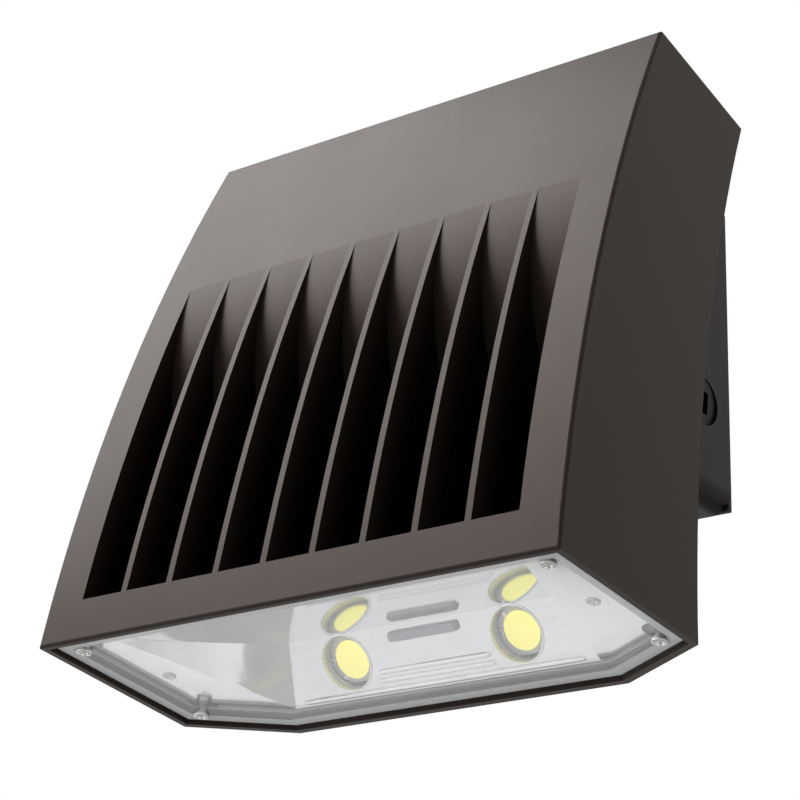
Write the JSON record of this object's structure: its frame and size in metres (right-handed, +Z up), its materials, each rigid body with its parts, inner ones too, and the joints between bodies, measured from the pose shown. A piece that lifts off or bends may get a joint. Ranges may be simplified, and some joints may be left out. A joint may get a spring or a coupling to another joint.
{
  "type": "wall pack light",
  "caption": "Finned bronze wall pack: hinged die-cast door with scooped cooling slots and a clear lens below, on a small back box.",
  "frame": {"origin": "on the wall, in the middle of the four lag holes of the back box", "axes": "+X to the right seen from the front, +Y into the wall, +Z up"},
  "size_m": [0.254, 0.156, 0.2476],
  "materials": {
    "door_housing": "dark bronze powder coat",
    "back_box": "dark bronze powder coat",
    "wall_gasket": "closed-cell foam",
    "door_gasket": "grey silicone",
    "lens_gasket": "pale silicone",
    "conduit_plug_left": "dark bronze powder coat",
    "conduit_plug_right": "dark bronze powder coat",
    "conduit_plug_bottom": "dark bronze powder coat",
    "hinge_pin_left": "stainless",
    "hinge_pin_right": "stainless",
    "ground_screw": "green coated steel",
    "lens": "clear",
    "lens_screws": "stainless",
    "reflector": "bright specular sheet",
    "reflector_screws": "zinc plated",
    "led_board_left": "white coated board",
    "led_board_right": "white coated board",
    "led_emitter_left": "yellow phosphor under silicone",
    "led_emitter_right": "yellow phosphor under silicone",
    "led_screws": "zinc plated",
    "led_leads": "silicone insulation",
    "driver": "plain coated steel case",
    "driver_screws": "zinc plated",
    "surge_module": "black moulded case",
    "surge_screws": "zinc plated",
    "driver_lead_line": "insulation",
    "driver_lead_neutral": "insulation",
    "driver_lead_ground": "insulation",
    "wire_connectors": "translucent nylon",
    "captive_screw_left": "stainless",
    "captive_screw_right": "stainless"
  },
  "bodies": {
    "box": {"back_box": "back_box", "wall_gasket": "wall_gasket", "conduit_plug_left": "conduit_plug_left", "conduit_plug_right": "conduit_plug_right", "conduit_plug_bottom": "conduit_plug_bottom", "hinge_pin_left": "hinge_pin_left", "hinge_pin_right": "hinge_pin_right", "ground_screw": "ground_screw"},
    "door": {"door_housing": "door_housing", "door_gasket": "door_gasket", "lens_gasket": "lens_gasket", "lens": "lens", "lens_screws": "lens_screws", "reflector": "reflector", "reflector_screws": "reflector_screws", "led_board_left": "led_board_left", "led_board_right": "led_board_right", "led_emitter_left": "led_emitter_left", "led_emitter_right": "led_emitter_right", "led_screws": "led_screws", "led_leads": "led_leads", "driver": "driver", "driver_screws": "driver_screws", "surge_module": "surge_module", "surge_screws": "surge_screws", "driver_lead_line": "driver_lead_line", "driver_lead_neutral": "driver_lead_neutral", "driver_lead_ground": "driver_lead_ground", "wire_connectors": "wire_connectors"},
    "left_captive_screw": {"captive_screw_left": "captive_screw_left"},
    "right_captive_screw": {"captive_screw_right": "captive_screw_right"}
  },
  "joints": [
    {"name": "door_hinge", "type": "hinge", "parent": "box", "child": "door", "pos_m": [0, -0.033, 0.0755], "axis": [-1, 0, 0], "range_deg": [0, 95]},
    {"name": "left_screw_slide", "type": "slide", "parent": "door", "child": "left_captive_screw", "axis": [0, -1, 0], "range_m": [0, 0.012]},
    {"name": "right_screw_slide", "type": "slide", "parent": "door", "child": "right_captive_screw", "axis": [0, -1, 0], "range_m": [0, 0.012]}
  ]
}
